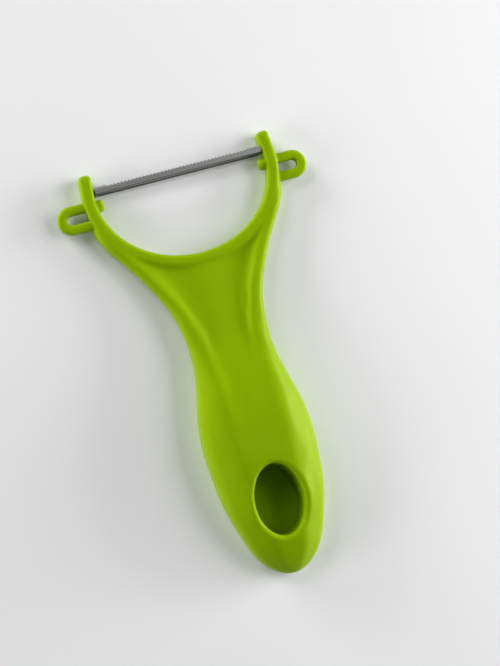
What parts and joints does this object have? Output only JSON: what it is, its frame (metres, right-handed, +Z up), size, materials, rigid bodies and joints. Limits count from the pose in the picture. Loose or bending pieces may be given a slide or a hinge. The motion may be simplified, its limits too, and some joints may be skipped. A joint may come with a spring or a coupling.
{
  "type": "vegetable peeler",
  "caption": "Bow-headed vegetable peeler with a swivelling toothed blade between its arms, a potato-eye loop on each side and a hollow handle with an oval hang hole in its front.",
  "frame": {"origin": "middle of the part's box, on the plane that it lies on", "axes": "+Z up, away from the back that the peeler lies on; +Y along the handle towards the blade; X across, along the blade"},
  "size_m": [0.079, 0.1313, 0.0143],
  "materials": {
    "green_plastic": "smooth moulded lime-green plastic with a soft gloss",
    "green_cover_plastic": "smooth moulded lime-green plastic with a soft gloss",
    "blade_steel": "rolled stainless steel, lightly brushed along its length",
    "pin_steel": "drawn stainless steel wire"
  },
  "bodies": {
    "body": {"frame": "green_plastic", "back_cover": "green_cover_plastic", "pivot_pin_left": "pin_steel", "pivot_pin_right": "pin_steel"},
    "blade": {"blade": "blade_steel"}
  },
  "joints": [
    {"name": "blade_swivel", "type": "hinge", "parent": "body", "child": "blade", "pos_m": [0, 0.0604, 0.00275], "axis": [1, 0, 0], "range_deg": [-45, 45]}
  ]
}
